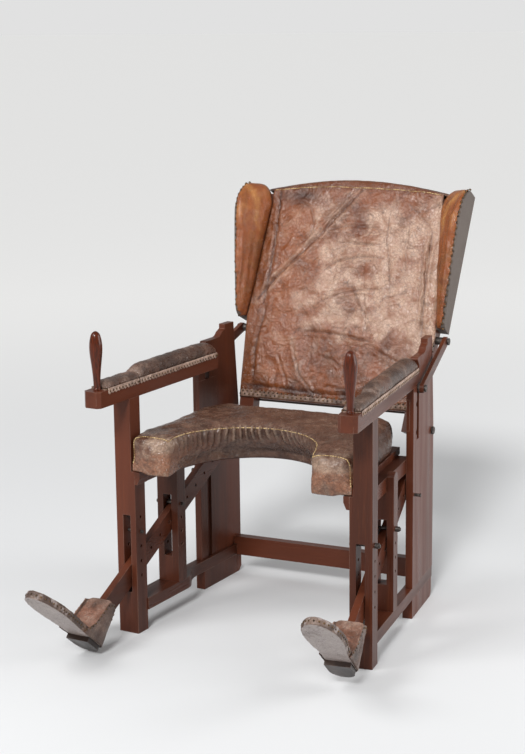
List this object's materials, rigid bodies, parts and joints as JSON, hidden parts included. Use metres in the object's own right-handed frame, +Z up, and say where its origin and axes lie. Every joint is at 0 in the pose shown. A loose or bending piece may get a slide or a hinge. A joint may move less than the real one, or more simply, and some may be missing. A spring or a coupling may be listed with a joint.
{
  "type": "birthing chair",
  "caption": "Wooden birthing chair with a horseshoe leather seat, reclining winged back, padded arms with hand grips and sliding foot rests.",
  "frame": {"origin": "middle of the chair's box, on the floor", "axes": "+Z up, -Y towards the front where the foot rests are, +X to the right as seen from the front"},
  "size_m": [0.7507, 1.1955, 1.0495],
  "materials": {
    "frame_wood": "satin red-brown paint",
    "grip_wood": "polished",
    "back_leather": "worn, mottled",
    "seat_leather": "dark, worn",
    "cup_leather": "dull",
    "sole_leather": "dull",
    "backing_cloth": "coarse cloth over board",
    "iron": "dark forged"
  },
  "bodies": {
    "frame": {"front_leg_left": "frame_wood", "front_leg_right": "frame_wood", "middle_post_left": "frame_wood", "middle_post_right": "frame_wood", "rear_post_left": "frame_wood", "rear_post_right": "frame_wood", "rear_board_left": "frame_wood", "rear_board_right": "frame_wood", "sole_rail_left": "frame_wood", "sole_rail_right": "frame_wood", "rear_foot_left": "frame_wood", "rear_foot_right": "frame_wood", "seat_rail_left": "frame_wood", "seat_rail_right": "frame_wood", "seat_corbel_left": "frame_wood", "seat_corbel_right": "frame_wood", "arm_left": "frame_wood", "arm_right": "frame_wood", "arm_pad_front_left": "seat_leather", "arm_pad_front_right": "seat_leather", "arm_pad_rear_left": "seat_leather", "arm_pad_rear_right": "seat_leather", "arm_grip_left": "grip_wood", "arm_grip_right": "grip_wood", "rear_stud_left": "iron", "rear_stud_right": "iron", "slot_blocks": "frame_wood", "filler_strips": "frame_wood", "cross_stretcher": "frame_wood", "seat_board": "frame_wood", "seat_cushion": "seat_leather"},
    "back": {"back_stile_left": "frame_wood", "back_stile_right": "frame_wood", "crest_rail": "frame_wood", "back_foot_rail": "frame_wood", "back_panel": "backing_cloth", "back_upholstery": "back_leather", "wing_board_left": "backing_cloth", "wing_board_right": "backing_cloth", "wing_pad_left": "back_leather", "wing_pad_right": "back_leather", "back_pivot_pins": "iron", "stay_pins": "iron"},
    "stay_left": {"stay_left": "frame_wood", "stay_peg_left": "iron"},
    "foot_rest_left": {"foot_bar_left": "frame_wood", "foot_plate_left": "sole_leather", "heel_block_left": "frame_wood", "heel_cup_left": "cup_leather"},
    "front_peg_left": {"front_peg_left": "iron"},
    "middle_peg_left": {"middle_peg_left": "iron"},
    "stay_right": {"stay_right": "frame_wood", "stay_peg_right": "iron"},
    "foot_rest_right": {"foot_bar_right": "frame_wood", "foot_plate_right": "sole_leather", "heel_block_right": "frame_wood", "heel_cup_right": "cup_leather"},
    "front_peg_right": {"front_peg_right": "iron"},
    "middle_peg_right": {"middle_peg_right": "iron"}
  },
  "joints": [
    {"name": "back_recline", "type": "hinge", "parent": "frame", "child": "back", "pos_m": [0, 0.32925, 0.44407], "axis": [1, 0, 0], "range_deg": [0, 12]},
    {"name": "stay_hinge_left", "type": "hinge", "parent": "back", "child": "stay_left", "pos_m": [-0.289, 0.42068, 0.65811], "axis": [1, 0, 0], "range_deg": [0, 12]},
    {"name": "stay_hinge_right", "type": "hinge", "parent": "back", "child": "stay_right", "pos_m": [0.289, 0.42068, 0.65811], "axis": [1, 0, 0], "range_deg": [0, 12]},
    {"name": "foot_rest_slide_left", "type": "slide", "parent": "frame", "child": "foot_rest_left", "axis": [0.0777, 0.8876, 0.454], "range_m": [0, 0.045]},
    {"name": "foot_rest_slide_right", "type": "slide", "parent": "frame", "child": "foot_rest_right", "axis": [-0.0777, 0.8876, 0.454], "range_m": [-0.045, 0]},
    {"name": "front_peg_pull_left", "type": "slide", "parent": "frame", "child": "front_peg_left", "axis": [-0.9962, 0.0872, 0], "range_m": [0, 0.09]},
    {"name": "front_peg_pull_right", "type": "slide", "parent": "frame", "child": "front_peg_right", "axis": [0.9962, 0.0872, 0], "range_m": [0, 0.09]},
    {"name": "middle_peg_pull_left", "type": "slide", "parent": "frame", "child": "middle_peg_left", "axis": [-0.9962, 0.0872, 0], "range_m": [0, 0.09]},
    {"name": "middle_peg_pull_right", "type": "slide", "parent": "frame", "child": "middle_peg_right", "axis": [0.9962, 0.0872, 0], "range_m": [0, 0.09]}
  ],
  "couplings": [
    {"joint": "stay_hinge_left", "follows": "back_recline", "ratio": 0.971},
    {"joint": "stay_hinge_right", "follows": "back_recline", "ratio": 0.971}
  ]
}
